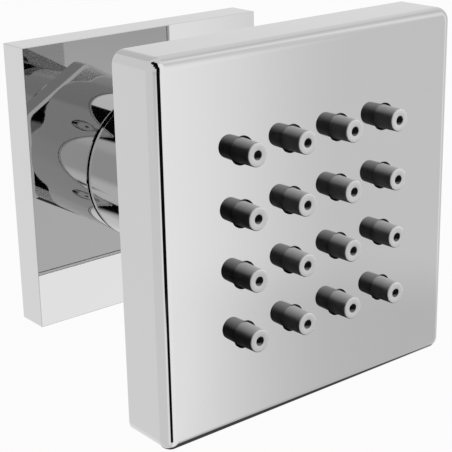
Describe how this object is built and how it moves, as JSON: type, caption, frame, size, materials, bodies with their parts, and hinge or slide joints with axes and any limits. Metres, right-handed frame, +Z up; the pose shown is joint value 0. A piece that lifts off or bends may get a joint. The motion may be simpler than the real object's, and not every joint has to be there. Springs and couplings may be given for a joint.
{
  "type": "shower body jet",
  "caption": "Square swivelling shower body jet: a chromed, round-edged face with soft nozzles on a ball joint, standing off a square wall flange with a threaded inlet.",
  "frame": {"origin": "on the inlet's axis, in the plane of the wall behind the flange", "axes": "+Z is up, +X is to the right seen from the room, the jets face -Y and the inlet runs to +Y into the wall"},
  "size_m": [0.062, 0.07, 0.062],
  "materials": {
    "chrome_flange": "polished",
    "chrome_stem": "polished",
    "chrome_nut": "polished",
    "chrome_socket": "polished",
    "chrome_back": "polished",
    "chrome_face": "polished",
    "nozzle_rubber": "matte",
    "seal_rubber": "matte",
    "gasket_foam": "matte",
    "filter_plastic": "matte",
    "limiter_plastic": "matte",
    "slip_plastic": "satin",
    "inner_plastic": "matte",
    "lock_brass": "machined",
    "screw_steel": "satin"
  },
  "bodies": {
    "wall_side": {"wall_flange": "chrome_flange", "flange_gasket": "gasket_foam", "flange_o_ring": "seal_rubber", "swivel_socket": "chrome_socket", "filter_screen": "filter_plastic", "flow_limiter": "limiter_plastic", "limiter_o_ring": "seal_rubber", "swivel_nut": "chrome_nut"},
    "spin_ring": {"ball_seal": "seal_rubber"},
    "pan_ring": {"slip_ring": "slip_plastic"},
    "head": {"ball_stem": "chrome_stem", "stem_collar": "chrome_stem", "collar_o_ring": "seal_rubber", "lock_ring": "lock_brass", "back_plate": "chrome_back", "back_screws": "screw_steel", "head_gasket": "seal_rubber", "face_shell": "chrome_face", "nozzle_mat": "nozzle_rubber", "nozzle_plate": "inner_plastic", "plate_screws": "screw_steel"}
  },
  "joints": [
    {"name": "head_spin", "type": "hinge", "parent": "wall_side", "child": "spin_ring", "pos_m": [0, -0.02196, 0], "axis": [0, 1, 0], "continuous": true},
    {"name": "head_pan", "type": "hinge", "parent": "spin_ring", "child": "pan_ring", "pos_m": [0, -0.02196, 0], "axis": [0, 0, 1], "range_deg": [-10, 10]},
    {"name": "head_tilt", "type": "hinge", "parent": "pan_ring", "child": "head", "pos_m": [0, -0.02196, 0], "axis": [1, 0, 0], "range_deg": [-10, 10]}
  ]
}
